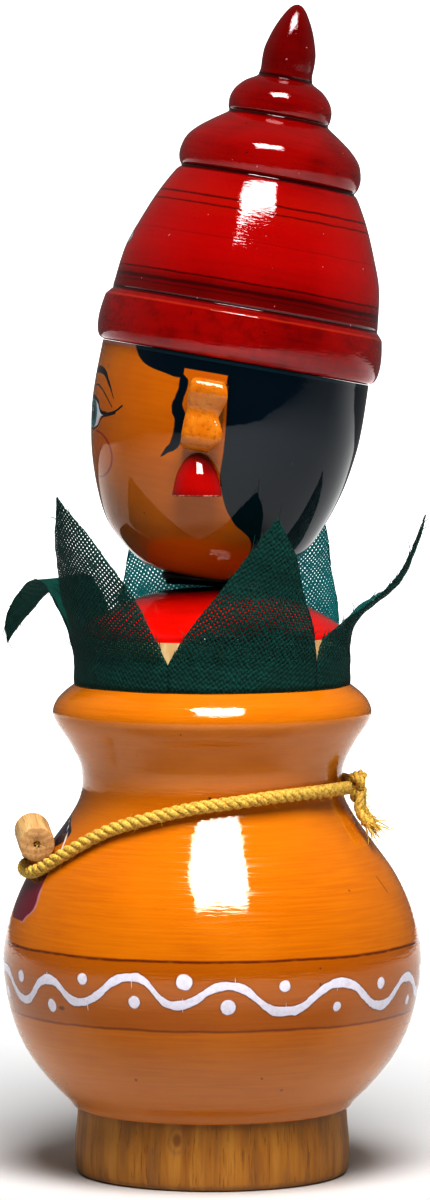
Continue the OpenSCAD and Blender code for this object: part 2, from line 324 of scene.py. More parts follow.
class Paint:
    """A material that is built up in layers, as a painter would.

    Its fields are in millimetres from the piece's own origin (x, y, rise, r) and in degrees
    round it (turn)."""

    def __init__(self, name, colour, roughness=0.5, **settings):
        self.material = bpy.data.materials.new(name)
        self.material.use_nodes = True
        self.tree = self.material.node_tree
        self.shader = self.tree.nodes["Principled BSDF"]
        self.shader.inputs["Base Color"].default_value = (*colour, 1)
        self.shader.inputs["Roughness"].default_value = roughness
        for setting, value in settings.items():
            self.shader.inputs[setting.replace("_", " ")].default_value = value
        self.colour = None
        self.flat = (*colour, 1)
        place = self.tree.nodes.new("ShaderNodeTexCoord").outputs["Object"]
        self.place = self.scaled(place, (1 / MM,) * 3)
        self.x, self.y, self.rise = xyz(self.tree, self.place)
        self.turn = self.y.act("ARCTAN2", self.x) * (180 / math.pi)
        self.r = reach(self.x, self.y)

    def scaled(self, vector, factors):
        node = self.tree.nodes.new("ShaderNodeVectorMath")
        node.operation = "MULTIPLY"
        self.tree.links.new(vector, node.inputs[0])
        node.inputs[1].default_value = factors
        return node.outputs[0]

    def noise(self, scale, stretch=(1, 1, 1), detail=2.0, lacy=0.5):
        """Noise from 0 to 1; scale is in features per millimetre."""
        node = self.tree.nodes.new("ShaderNodeTexNoise")
        vector = self.scaled(self.place, tuple(scale * s for s in stretch))
        self.tree.links.new(vector, node.inputs["Vector"])
        node.inputs["Scale"].default_value = 1
        node.inputs["Detail"].default_value = detail
        node.inputs["Roughness"].default_value = lacy
        return Field(self.tree, node.outputs["Fac"])

    def vector(self, x, y, z):
        node = self.tree.nodes.new("ShaderNodeCombineXYZ")
        for socket, value in zip(node.inputs, (x, y, z)):
            if isinstance(value, Field):
                self.tree.links.new(value.out, socket)
            else:
                socket.default_value = value
        return node.outputs[0]

    def noise_at(self, x, y, z, detail):
        """Noise from 0 to 1 at coordinates that are fields."""
        node = self.tree.nodes.new("ShaderNodeTexNoise")
        self.tree.links.new(self.vector(x, y, z), node.inputs["Vector"])
        node.inputs["Scale"].default_value = 1
        node.inputs["Detail"].default_value = detail
        return Field(self.tree, node.outputs["Fac"])

    def layer(self, colour, mask):
        """Lays a colour over what is there, where mask is 1."""
        node = self.tree.nodes.new("ShaderNodeMix")
        node.data_type = "RGBA"
        ports = [s for s in node.inputs if s.enabled]
        self.tree.links.new(mask.out, ports[0])
        if self.colour is None:
            ports[1].default_value = self.flat
        else:
            self.tree.links.new(self.colour, ports[1])
        ports[2].default_value = (*colour, 1)
        self.colour = next(s for s in node.outputs if s.enabled)

    def bump(self, height):
        """Raises the surface by height, in millimetres."""
        node = self.tree.nodes.new("ShaderNodeBump")
        node.inputs["Strength"].default_value = 1
        node.inputs["Distance"].default_value = MM
        self.tree.links.new(height.out, node.inputs["Height"])
        self.tree.links.new(node.outputs[0], self.shader.inputs["Normal"])

    def drive(self, setting, field):
        """Lets a field set the roughness, or another of the surface's numbers."""
        self.tree.links.new(field.out, self.shader.inputs[setting])

    def done(self):
        if self.colour is not None:
            self.tree.links.new(self.colour, self.shader.inputs["Base Color"])
        return self.material


def lathe_marks(paint):
    """The fine rings that a turning tool and the lac stick leave, and a slow orange peel."""
    rings = paint.noise(3.2, (0.02, 0.02, 1), 3)
    peel = paint.noise(0.35, detail=2)
    return rings * 0.0016 + peel * 0.012


def ripples(paint):
    """Short flat ripples that break the edges of a highlight up."""
    return paint.noise_at(paint.turn * 0.22, paint.rise * 2.3, 4.0, 2)


def specks(paint, scale, share):
    """Sparse tiny dots, as dust in the lac."""
    return paint.noise(scale, detail=0).above(share, 0.015)


# ---- where things are ----

NECK_Y, NECK_GAP, HEAD_TOP = -2.6, 0.8, 38.2
NECK = Vector((0, NECK_Y, 103.8))
LEAN = math.radians(-3.2)           # the head's tip to one side
TILT = Matrix.Rotation(LEAN, 3, "Y") @ Matrix.Rotation(math.radians(-9.5), 3, "X")
HEAD = Matrix.Translation((NECK + TILT @ Vector((0, 0, NECK_GAP))) * MM) @ TILT.to_4x4()
HAT = HEAD @ Matrix.Translation((0, 0, HEAD_TOP * MM))
RIM_Z, LEDGE_R, LEDGE_TOP, DOME_TOP = 86.0, 24.0, 95.0, 103.3
BORE_R, BORE_FLOOR = 6.9, 92.6
PIN = Vector((22.9, 0.4, 20.5))
EAR_ROOT, EAR_BASE = 23.3, 22       # how far out and how high on the head
DOWEL_AT, DOWEL_TURN, DOWEL_DIP = (10.6, -29.6, 59.5), 16, 6.5


def head_place(p):
    """A point of the upright head, in millimetres, where the leaning head has it."""
    return NECK + TILT @ (Vector(p) + UP * NECK_GAP)


# ---- outlines, as (radius, height) ----

FOOT = [(0, 0), (22.4, 0), (23.3, 0.12), (23.75, 0.45), (23.95, 1.2), (24.1, 3.5), (24.05, 6),
        (23.8, 8.5), (23.65, 10.5), (23.6, 11.7)]
BELLY = smooth([(23.75, 11.72), (24.25, 11.85), (25.3, 13.2), (28.2, 16.1), (31.8, 20.6),
                (34.5, 25.9), (36.1, 31.9), (36.7, 37.5), (36.1, 42.6), (34.4, 48), (31.9, 53),
                (28.3, 58), (25, 62.6), (23.2, 66), (22.8, 69), (23.2, 72.2), (25.2, 76.1),
                (27.2, 79.1), (27.9, 81.1), (27.3, 83), (26, 84.5), (24.1, 86)], 7)
POT = FOOT + BELLY + [(15.05, 86), (15.05, 70), (0, 70)]
FACE = smooth([(7, 0.2), (9.2, 0.6), (11, 1.5), (13.6, 3.4), (17.3, 7), (20, 12.2), (22.2, 18.8),
               (23.4, 25.6), (23.7, 31), (23.55, 38.1)], 8)
SKULL = ([(0, 12), (6.9, 12), (6.9, 0.3)] + FACE
         + [(14, 38.2), (14, 47.6), (13.5, 48.2), (0, 48.2)])
BRIM = smooth([(23.35, 0), (24.25, 0.45), (24.8, 1.6), (25, 3.4), (24.9, 5.4), (24.55, 7.6),
               (24.42, 8.0), (24.15, 8.35), (23.85, 8.7), (23.5, 9.1), (23.4, 9.3)], 5)
CROWN = smooth([(23.38, 9.5), (23.35, 10.3), (22.5, 16.6), (20.7, 21.8), (18.5, 27), (16.2, 31.2),
                (15.35, 32.1)], 8)
TIER = smooth([(15.3, 32.3), (15.85, 33.3), (16, 35), (15.3, 37.4), (13.6, 39.4), (11.4, 41.1),
               (9.2, 42.6), (8.75, 43.1)], 6)
SMALL_TIER = smooth([(8.75, 43.2), (9, 44), (8.98, 45.6), (8.3, 47.2), (6.9, 48.7), (5.2, 49.7),
                     (4.75, 50.1)], 6)
BUD = smooth([(4.75, 50.2), (4.55, 51.3), (4.62, 53), (4.54, 54.8), (4.1, 56.6), (3.5, 58.4),
              (2.7, 60.2), (1.65, 62), (0.8, 62.9), (0, 63.2)], 5)
HAT_SOLID = ([(0, 10.2), (14.05, 10.2), (14.05, 0)] + BRIM + CROWN + TIER + SMALL_TIER + BUD)


# ---- painted decoration ----

WAVE = [(-206.7, 32.2), (-191.3, 36.9), (-175.9, 32.4), (-160.4, 36.8), (-145, 32.2),
        (-129.6, 37.1), (-114.2, 32.6), (-98.8, 36.8), (-83.4, 32.2), (-68, 37), (-53.2, 32.5),
        (-39.7, 36.95), (-29.4, 33.6), (-11.5, 38.6), (0.1, 33.9), (14.2, 37.4), (30, 32.65),
        (46.8, 37), (63.5, 32.2), (76.3, 36.1), (91.7, 32.3), (107.1, 36.9), (122.5, 32.5),
        (138, 36.8), (153.3, 32.2), (168.7, 36.9), (184.1, 32.4), (199.6, 36.8)]
UPPER_DOTS = [(-175.9, 36.6, 1.1), (-145, 36.4, 1.2), (-114.2, 36.7, 1.1), (-83.4, 36.3, 1.2),
              (-54.3, 36.5, 1.1), (-27.2, 37.7, 1.05), (2.6, 38, 1.4), (29.7, 37.1, 1),
              (62.4, 36.1, 1.05), (91.7, 36.5, 1.1), (122.5, 36.7, 1.2), (153.3, 36.4, 1.1)]
LOWER_DOTS = [(-160.4, 32.5, 1.1), (-129.6, 32.4, 1.2), (-98.8, 32.7, 1.1), (-68, 32.6, 1.1),
              (-39.4, 32.4, 1.1), (-11.3, 34.3, 1.05), (14.3, 33.7, 1.3), (46, 32.9, 0.85),
              (79.6, 31.9, 0.8), (107.1, 32.5, 1.1), (138, 32.6, 1.1), (168.7, 32.4, 1.1)]


def dots(turn, rise, girth, places, soft=0.12):
    """1 inside round dots; places are (bearing, height, radius), girth is mm to a degree."""
    steps_turn, steps_rise, steps_size = [], [], []
    for i, (bearing, height, size) in enumerate(places):
        low = (places[i - 1][0] + bearing) / 2 if i else -180
        high = (bearing + places[i + 1][0]) / 2 if i + 1 < len(places) else 180
        for steps, value in ((steps_turn, bearing), (steps_rise, height), (steps_size, size)):
            steps += [(low + 0.1, value), (high - 0.1, value)]
    across = (turn - turn.curve(steps_turn, straight=True)) * girth
    over = rise - turn.curve(steps_rise, straight=True)
    return (reach(across, over) - turn.curve(steps_size, straight=True)).below(0, soft)


def pot_lacquer():
    paint = Paint("pot_lacquer", (0.60, 0.19, 0.001), 0.05, Specular_IOR_Level=0.7)
    turn, rise = paint.turn, paint.rise
    sway = paint.noise(0.09, detail=1) - 0.5
    brush = paint.noise_at(turn * 0.045, rise * 2.2, 0.0, 4)
    paint.layer((0.47, 0.125, 0.002), brush.above(0.5, 0.22) * 0.55)
    paint.layer((0.64, 0.215, 0.004), paint.noise(0.05, detail=3).above(0.52, 0.15) * 0.5)
    # paler towards the throat and the shoulder, and darker low down
    paint.layer((0.58, 0.20, 0.005), rise.between(60, 92, 8) * 0.3)
    paint.layer((0.40, 0.13, 0.005), rise.below(18, 8) * 0.5)
    paint.layer((0.34, 0.085, 0.001), rise.between(29.5, 41.4, 0.5) * 0.55)
    wobble = paint.noise(0.5, (1, 1, 3), 1) - 0.5
    ring = (rise - 41.4 + sway * 0.4 + wobble * 0.16).size()
    paint.layer((0.10, 0.012, 0.004), ring.below(0.22, 0.16) * (wobble + 1.0).low(1.0) * 0.85)
    ring = (rise - 29.4 + sway * 0.6 + wobble * 0.2).size()
    paint.layer((0.16, 0.02, 0.004), ring.below(0.2, 0.2) * 0.75)
    # wave and dots, brushed on in white, each edged by a thin painted shadow where the white stands
    # proud
    girth = paint.r * (math.pi / 180)
    centre = turn.curve(WAVE)
    steep = paint.noise(0.35, detail=1) * 0.7 + 0.45
    stroke = (rise - centre + wobble * 0.25).size() - steep
    up = dots(turn, rise + wobble * 0.5, girth, UPPER_DOTS)
    down = dots(turn, rise + wobble * 0.5, girth, LOWER_DOTS)
    dot_shadow_up = dots(turn, rise + wobble * 0.5, girth * 0.86, UPPER_DOTS, 0.2)
    dot_shadow_down = dots(turn, rise + wobble * 0.5, girth * 0.86, LOWER_DOTS, 0.2)
    white = stroke.below(0, 0.12).high(up).high(down)
    dark = stroke.below(0.22, 0.14).high(dot_shadow_up).high(dot_shadow_down)
    # a thin painted shadow round the raised white wave and dots
    paint.layer((0.16, 0.045, 0.004), dark * 0.75)
    paint.layer((0.78, 0.75, 0.84), white * (paint.noise(1.1, detail=2) * 0.5 + 0.72).low(1.0))
    petals(paint, turn, rise)
    # knocks and specks
    paint.layer((0.12, 0.03, 0.004), specks(paint, 0.7, 0.88) * 0.8)
    scratch = (turn - 75.3 - (rise - 52.1) * -0.75).size()
    paint.layer((0.08, 0.02, 0.004),
                scratch.below(0.22, 0.15) * rise.between(50.6, 53.6, 0.3) * 0.8)
    ring = paint.noise_at(turn * 0.02, rise * 2.6, 3.0, 1)
    ring_fine = paint.noise_at(turn * 0.05, rise * 1.1, 9.0, 1)
    grooves = ring.above(0.55, 0.05) * ring_fine.above(0.45, 0.1)
    paint.drive("Roughness", paint.noise(0.2, detail=3) * 0.03 + 0.035 + grooves * 0.14)
    paint.bump(lathe_marks(paint) + white * 0.05 + ripples(paint) * 0.028)
    return paint.done()


def petals(paint, turn, rise):
    """A flower painted on the front of the pot, below and above the rope."""
    aside = (turn + 90).size()
    lobe = rise.curve([(44.5, 29.5), (46.3, 32.2), (48.9, 36.2), (50.6, 35.4), (53, 35),
                       (55.5, 33), (57.2, 27)])
    inner = rise.curve([(44.5, 26), (47, 15), (50.5, 9), (54, 14), (57.2, 24)])
    side = (aside - lobe).below(0, 0.5) * (aside - inner).above(0, 0.5)
    side = side * rise.between(45.6, 57.2, 0.15)
    rim = (aside - lobe).size().below(1.1, 0.6) * rise.between(45.4, 51.5, 0.3)
    heart = rise.curve([(41.9, 0), (44, 7.5), (47.5, 11), (51.5, 7), (54, 0)])
    heart = (aside - heart).below(0, 0.5) * rise.between(42.2, 54, 0.2)
    paint.layer((0.50, 0.30, 0.42), rim * 0.6)
    paint.layer((0.17, 0.012, 0.03), side.high(heart * 0.9))
    outer = rise.curve([(57, 14), (58.4, 27), (60.2, 31.5), (62, 24), (63.6, 8)])
    inner = rise.curve([(57, 12), (60, 9), (63.6, 6)])
    leaf = (aside - outer).below(0, 0.6) * (aside - inner).above(0, 0.6)
    paint.layer((0.03, 0.02, 0.035), leaf * rise.between(57.4, 63.4, 0.2))
    along = (rise - 59.4) * 0.65 + aside * 0.38
    beads = (along * (2 * math.pi / 1.25)).act("SINE").above(0.0, 0.5)
    chain = off_line(aside, rise, [(56.6, 34), (58.4, 32.5), (60.6, 27), (62.6, 16), (63.4, 8)])
    paint.layer((0.8, 0.78, 0.8), beads * chain.below(0.9, 0.5) * rise.between(56.8, 63.2, 0.2))


def wood(name, light, dark, fine=1.0):
    """Bare turned wood with long pores and growth lines that run up it."""
    paint = Paint(name, light, 0.55)
    lines = paint.noise(0.55 * fine, (1, 1, 0.07), 3)
    pores = paint.noise(3.0 * fine, (1, 1, 0.035), 2)
    paint.layer(dark, lines.above(0.5, 0.14) * 0.6)
    paint.layer(tuple(c * 0.55 for c in dark), pores.above(0.63, 0.05) * 0.55)
    paint.bump(pores.below(0.60, 0.06) * 0.03 + paint.noise(2.0, (0.05, 0.05, 1.4), 2) * 0.015)
    return paint


def foot_wood():
    paint = wood("foot_wood", (0.46, 0.20, 0.022), (0.28, 0.10, 0.008))
    turn, rise = paint.turn, paint.rise
    paint.layer((0.25, 0.10, 0.03), rise.above(11.0, 0.8) * 0.7)
    paint.layer((0.30, 0.14, 0.05), rise.below(0.9, 0.6) * 0.55)
    streak = paint.noise_at(turn * 0.10, rise * 0.03, 4.0, 3)
    paint.layer((0.24, 0.105, 0.03), streak.above(0.56, 0.07) * 0.6)
    paint.layer((0.56, 0.28, 0.045), streak.below(0.42, 0.06) * 0.5)
    knot = reach((turn + 4.7) * 0.62296, rise - 8.9)
    paint.layer((0.20, 0.07, 0.02), knot.below(1.1, 0.5) * 0.75)
    paint.layer((0.33, 0.15, 0.05), (knot - 2.2).size().below(0.35, 0.4) * 0.5)
    # the end grain under the foot, with a worn contact ring
    ring = (paint.r * 1.4).act("SINE")
    paint.layer((0.30, 0.16, 0.06), rise.below(0.06, 0.02) * ring.above(0.5, 0.5) * 0.5)
    return paint.done()


def head_lacquer():
    paint = Paint("head_lacquer", (0.48, 0.135, 0.002), 0.05, Specular_IOR_Level=0.6)
    turn, rise = paint.turn, paint.rise
    brush = paint.noise_at(turn * 0.04, rise * 1.5, 2.0, 3)
    paint.layer((0.42, 0.11, 0.003), brush.above(0.5, 0.2) * 0.5)
    paint.layer((0.54, 0.18, 0.008), paint.noise(0.06, detail=2).above(0.5, 0.15) * 0.4)
    aside = (turn + 90).size()              # degrees from the middle of the face
    aside = aside.low(360 - aside)
    wobble = paint.noise(0.7, detail=1) - 0.5
    # the black is tinted faintly blue, a painted bluish reflection on the lacquer; cream is for the
    # eyes
    sheen_tinted_black, cream = (0.001, 0.007, 0.014), (0.66, 0.66, 0.72)
    # hair: from its front edge back, round behind the ears, to a point low at the nape
    front = rise.curve([(33.6, 77.5), (34.1, 72), (34.75, 63), (35.4, 58.5), (37.7, 52.5),
                        (38.2, 52)])
    nape = rise.curve([(0.2, 132), (7, 127.8), (11, 112.6), (14.7, 105), (19, 101.5),
                       (21.9, 101.4), (35.5, 98)])
    fringe = (aside - front).above(0, 0.6) * rise.above(33.85, 0.15)
    back = (aside - nape).above(0, 0.35)
    ear_patch = (aside.between(79, 97.7, 0.3)) * rise.between(20, 35.6, 0.1)
    lock_low = rise.curve([(19.9, 73.4), (21.5, 75.8), (23.4, 78.2), (26.1, 78.7), (28.7, 76.3),
                           (32.6, 77.8), (34.6, 77.5)])
    lock_high = rise.curve([(19.9, 73.7), (20.6, 76.4), (23, 82.5), (24.8, 83.2), (27.7, 83),
                            (29.8, 80.8), (32.9, 81.7), (34.6, 79.2)])
    lock = (aside - lock_low + wobble).above(0, 0.35) * (aside - lock_high + wobble).below(0, 0.35)
    lock = lock * rise.between(19.9, 34.6, 0.12)
    hair = (fringe * (1 - ear_patch)).high(back).high(lock)
    paint.layer(sheen_tinted_black, hair)
    # just under the brim, a thin painted highlight: bluish on the hair, pale pink on the bare
    # lacquer
    paint.layer((0.008, 0.035, 0.05), rise.above(37.5, 0.12) * hair)
    paint.layer((0.55, 0.30, 0.28), rise.above(37.6, 0.3) * (1 - hair) * 0.7)
    # eye
    upper = aside.curve([(8.5, 24.3), (13, 26.6), (20, 27.9), (27.7, 27.2), (35.3, 25.2), (36, 25)])
    lower = aside.curve([(8.5, 24.3), (13, 23.3), (20, 22.7), (28.5, 23.2), (35.3, 25.1), (36, 25)])
    open_eye = (rise - upper).below(0, 0.1) * (rise - lower).above(0, 0.1)
    open_eye = open_eye * aside.between(8.5, 35.8, 0.2)
    paint.layer(cream, open_eye)
    over = rise - 25.2
    across = (aside - 21.5) * 0.4
    iris = reach(across, over)
    paint.layer((0.01, 0.16, 0.17), iris.below(2.5, 0.12) * open_eye)
    paint.layer(sheen_tinted_black, iris.below(1.35, 0.1) * open_eye)
    # a painted catch-light: a small cream dot high in the pupil
    paint.layer(cream, reach(across + 0.6, over - 0.6).below(0.38, 0.1) * open_eye)
    lid = off_line(rise + wobble * 0.1, aside, [(8, 24), (13, 26.6), (20, 28), (27.7, 27.4),
                                                (35.3, 25.5), (41.7, 25.7), (51.1, 27.5)])
    paint.layer(sheen_tinted_black, lid.below(0.34, 0.1) * aside.between(8, 50.5, 0.4)
                * (1 - aside.above(38, 0.5) * lid.above(0.2, 0.1)))
    lash = off_line(rise, aside, [(8, 24.2), (13, 23.2), (20, 22.5), (28.5, 23), (35.3, 24.9),
                                  (40.2, 25.3), (47, 26)])
    paint.layer(sheen_tinted_black, lash.below(0.17, 0.09) * aside.between(8, 46, 0.4))
    crease = off_line(rise, aside, [(14, 29.3), (20, 30), (25, 30.2), (29, 29.9), (36, 28.7),
                                    (43.3, 26.7)])
    paint.layer((0.05, 0.012, 0.008), crease.below(0.15, 0.1) * aside.between(13, 43, 0.4))
    brow = off_line(rise, aside, [(9, 29.6), (14, 31.6), (22, 32.9), (29.6, 32.7), (37, 31),
                                  (43.6, 28.3)])
    paint.layer(sheen_tinted_black, (brow - aside.curve([(9, 0.5), (20, 0.62), (30, 0.55), (43.6, 0.12)]))
                .below(0, 0.1) * aside.between(8.6, 43.6, 0.5))
    # cheek mark, nose, mouth and the mark on the brow
    cheek = reach((aside - 28) * 0.24, rise - 18.4) - 3.85
    paint.layer((0.22, 0.004, 0.004), cheek.size().below(0.17, 0.1) * aside.above(27.5, 1.5) * 0.9)
    paint.layer((0.55, 0.10, 0.02), cheek.below(-0.3, 2.2) * aside.above(19, 4) * 0.32)
    nose = off_line(aside, rise, [(17.6, 5.6), (18.6, 7.4), (19.6, 6.2), (21, 4.2), (28, 3.8),
                                  (30, 5.2)])
    paint.layer((0.28, 0.03, 0.015), nose.below(0.42, 0.3) * rise.between(17.6, 29.8, 0.2))
    nostril = reach((aside - 3.6) * 0.4, rise - 17.9)
    paint.layer((0.10, 0.01, 0.01), nostril.below(0.34, 0.1))
    lips_top = aside.curve([(0, 13.6), (3.6, 14.6), (12.5, 12.9)])
    lips_low = aside.curve([(0, 10.6), (5, 11), (12.5, 12.8)])
    lips = (rise - lips_top).below(0, 0.12) * (rise - lips_low).above(0, 0.12)
    paint.layer((0.50, 0.008, 0.012), lips * aside.below(12.4, 0.3))
    part = off_line(rise, aside, [(0, 12.4), (5, 12.75), (12.5, 12.9)])
    paint.layer((0.12, 0.004, 0.006), part.below(0.12, 0.08) * aside.below(11.5, 0.5))
    mark = reach(aside * 0.41231, rise - 33.4)
    paint.layer((0.50, 0.008, 0.012), mark.below(1.15, 0.12))
    paint.layer((0.10, 0.03, 0.006), specks(paint, 0.8, 0.885) * 0.7)
    # lacquer stops at the edge of the neck's bore; inside it is bare wood
    paint.layer((0.55, 0.36, 0.16), paint.r.below(7.02, 0.03) * rise.below(12.1, 0.05))
    paint.drive("Roughness", paint.noise(0.2, detail=2) * 0.03 + 0.03)
    paint.bump(lathe_marks(paint) + hair * 0.012)
    return paint.done()


def red_lacquer(name, tint=(0.36, 0.0003, 0.0004)):
    """Red lac with darker and brighter streaks; each piece has its own layers over it."""
    paint = Paint(name, tint, 0.05, Specular_IOR_Level=0.7)
    brush = paint.noise_at(paint.turn * 0.03, paint.rise * 1.2, 5.0, 3)
    paint.layer((0.20, 0.0005, 0.0008), brush.above(0.54, 0.14) * 0.5)
    paint.layer((0.56, 0.004, 0.001), paint.noise(0.07, detail=2).above(0.5, 0.12) * 0.45)
    return paint


def hat_lacquer():
    paint = red_lacquer("hat_lacquer")
    turn, rise = paint.turn, paint.rise
    sway = (paint.noise(0.04, detail=1) - 0.5) * 2.4
    wobble = (paint.noise(0.3, (1, 1, 4), 2) - 0.5) * 0.3
    # a painted sheen round the lamp's highlight on the crown, brightest and orange-tinged where the
    # highlight falls
    paint.layer((0.70, 0.002, 0.0008), rise.between(14, 31, 5) * 0.6)
    paint.layer((0.55, 0.012, 0.001), (rise + sway).between(24.5, 29.5, 1.5) * 0.5)
    paint.layer((0.12, 0.0005, 0.001), (rise + sway * 0.5).between(9.5, 13, 1.0) * 0.65)
    for height, half, strength in ((27.4, 0.16, 0.8), (25.9, 0.14, 0.7), (13.5, 0.15, 0.8),
                                   (12.0, 0.3, 0.7), (11.1, 0.12, 0.5), (20.6, 0.08, 0.3)):
        ring = (rise - height + wobble + sway * 0.22).size()
        paint.layer((0.05, 0.001, 0.002), ring.below(half, 0.14) * strength)
    paint.layer((0.13, 0.0005, 0.001), rise.above(47.5, 4) * 0.6)
    joints = (rise - 9.35).size().below(0.3, 0.25)
    for height, half, soft in ((32.2, 0.4, 0.3), (43.1, 0.35, 0.3), (50.1, 0.3, 0.25)):
        joints = joints.high((rise - height).size().below(half, soft))
    paint.layer((0.03, 0.0005, 0.001), joints * 0.9)
    # the mottled brim with a painted highlight along its upper edge, scuffed at the front where it
    # has been handled
    mottle = paint.noise(0.45, detail=4, lacy=0.62)
    paint.layer((0.17, 0.001, 0.001), rise.below(9.2, 0.4) * mottle.above(0.57, 0.12) * 0.4)
    # a thin orange painted highlight along the brim's upper edge
    paint.layer((0.62, 0.05, 0.01), (rise - 8.1 + wobble).size().below(0.16, 0.15) * 0.7)
    scuff = (paint.noise_at(turn * 0.5, rise * 0.9, 1.0, 3) - 0.56).size().below(0.012, 0.01)
    front = (turn + 90).size().below(52, 10).high((turn - 92).size().below(14, 6))
    paint.layer((0.06, 0.002, 0.002), scuff * front * rise.below(8.0, 0.8) * 0.7)
    petals_on_hat(paint, turn, rise)
    paint.layer((0.75, 0.30, 0.30), specks(paint, 1.1, 0.875) * 0.8)
    paint.layer((0.04, 0.001, 0.001), paint.noise(1.3, detail=0).below(0.13, 0.02) * 0.7)
    paint.drive("Roughness", paint.noise(0.25, detail=3) * 0.035 + 0.03)
    paint.bump(lathe_marks(paint) + joints * -0.12 + ripples(paint) * 0.028)
    return paint.done()


def petals_on_hat(paint, turn, rise):
    """A pale flower painted on the front of the hat, seen edge-on from the side."""
    aside = (turn + 90).size()
    across, over = aside * 0.36, rise - 18.3
    away = reach(across, over)
    rim = away - ((over.act("ARCTAN2", across) * 8).act("COSINE") * 2.0 + 5.6)
    paint.layer((0.35, 0.62, 0.62), rim.below(0, 0.12) * away.above(2.2, 0.12))
    paint.layer((0.80, 0.82, 0.80), rim.size().below(0.28, 0.15))
    paint.layer((0.80, 0.62, 0.08), away.below(1.9, 0.12))


def dome_lacquer():
    paint = red_lacquer("dome_lacquer", tint=(0.58, 0.003, 0.001))
    paint.layer((0.62, 0.004, 0.001), paint.rise.above(96, 1.0) * 0.5)
    grain = paint.noise_at(paint.turn * 0.12, paint.rise * 0.1, 3.0, 3)
    ledge = paint.rise.below(LEDGE_TOP - 0.35, 0.12)       # left as bare wood
    paint.layer((0.66, 0.47, 0.24), ledge)
    paint.layer((0.44, 0.26, 0.10), ledge * grain.above(0.55, 0.08) * 0.6)
    paint.drive("Roughness", ledge * 0.5 + 0.05)
    paint.bump(lathe_marks(paint) + grain * ledge * 0.03)
    return paint.done()


def ear_lacquer():
    paint = Paint("ear_lacquer", (0.52, 0.165, 0.006), 0.06, Specular_IOR_Level=0.6)
    paint.layer((0.56, 0.22, 0.02), paint.noise(0.35, detail=3).above(0.52, 0.12) * 0.6)
    paint.layer((0.40, 0.11, 0.006), paint.noise(0.8, detail=3).above(0.58, 0.08) * 0.5)
    paint.layer((0.30, 0.07, 0.006), paint.noise(1.6, detail=2).above(0.66, 0.04) * 0.5)
    paint.drive("Roughness", paint.noise(0.5, detail=2) * 0.08 + 0.04)
    paint.bump(paint.noise(0.7, detail=2) * 0.10 + paint.noise(3.0, detail=2) * 0.012)
    return paint.done()


def earring_lacquer():
    paint = red_lacquer("earring_lacquer", tint=(0.17, 0.0005, 0.001))
    # a jagged pale painted highlight along the bell's lower lip
    lower_edge_glint = paint.noise(1.4, detail=2).above(0.5, 0.08) * paint.rise.below(-6.05, 0.08)
    paint.layer((0.75, 0.30, 0.22), lower_edge_glint)
    paint.layer((0.46, 0.003, 0.002), paint.rise.between(-5.3, -2.3, 0.8) * 0.4)
    paint.drive("Roughness", paint.noise(0.5, detail=2) * 0.05 + 0.04)
    paint.bump(lathe_marks(paint) + paint.noise(0.9, detail=2) * 0.03)
    return paint.done()


def cloth():
    """Stiff open-weave cotton, dyed green and cut askew, with light between its threads.

    Map coordinates are millimetres along and across the strip that it was cut from."""
    paint = Paint("green_cloth", (0.001, 0.052, 0.040), 0.85, Specular_IOR_Level=0.25)
    tree, turn = paint.tree, paint.turn
    pitch, askew = 2 * math.pi / 0.66, math.radians(36)     # 0.66 mm from thread to thread
    uv = tree.nodes.new("ShaderNodeUVMap")
    uv.uv_map = "cut"
    round_it, height, _ = xyz(tree, uv.outputs[0])
    along = round_it * math.cos(askew) + height * math.sin(askew)
    across = height * math.cos(askew) - round_it * math.sin(askew)
    drift = paint.noise(0.35, detail=2) - 0.5
    slub = paint.noise_at(along * 0.25, across * 3.0, 1.0, 2)
    slub_2 = paint.noise_at(along * 3.0, across * 0.25, 7.0, 2)
    warp = ((along + drift * 0.9) * pitch).act("SINE") * 0.5 + 0.5
    weft = ((across + drift * 0.7) * pitch).act("SINE") * 0.5 + 0.5
    over = ((along + drift * 0.3) * (pitch / 2)).act("SINE")
    over = over * ((across + drift * 0.3) * (pitch / 2)).act("SINE")
    # the holes close on the band, on the leaf that is folded down, low on those behind, and at
    # the tip of the one in front
    folded = turn.between(-128, -74, 4)
    far = turn.above(112, 10).high(turn.below(-128, 8))
    behind = turn.above(160, 10).high(turn.below(-152, 12)) * height.below(20.5, 5)
    front_top = turn.between(-11, 59, 3) * height.above(17, 2)
    open_up = height.above(14, 8) * 0.16
    holes = (warp + open_up).above(0.62, 0.18) * (weft + open_up).above(0.62, 0.18)
    low_down = height.above(5.2, 1.6) * (1 - behind * 0.8)
    holes = holes * (slub + slub_2).below(1.14, 0.16) * low_down * (1 - folded * 0.85)
    holes = holes * (1 - front_top * 0.85)
    thread = (1 - warp) * 0.6 + (1 - weft) * 0.6
    paint.layer((0.0005, 0.014, 0.012), warp.high(weft).above(0.62, 0.25) * 0.8)
    paint.layer((0.002, 0.095, 0.075), slub.high(slub_2).above(0.55, 0.12) * 0.55)
    paint.layer((0.001, 0.034, 0.026), paint.noise(0.12, detail=3).above(0.5, 0.15) * 0.6)
    # the leaves behind the head painted a brighter teal, standing in for light that comes through
    # them from behind
    paint.layer((0.015, 0.16, 0.17), far * height.above(5, 2) * 0.7)
    # a painted shadow low on the leaves right behind the head, where the head's shade falls
    paint.layer((0.0005, 0.012, 0.011), behind * 0.8)
    paint.bump(thread * 0.11 + over * 0.05 + slub * 0.05)
    paint.drive("Alpha", 1 - holes * 0.97)
    return paint.done()


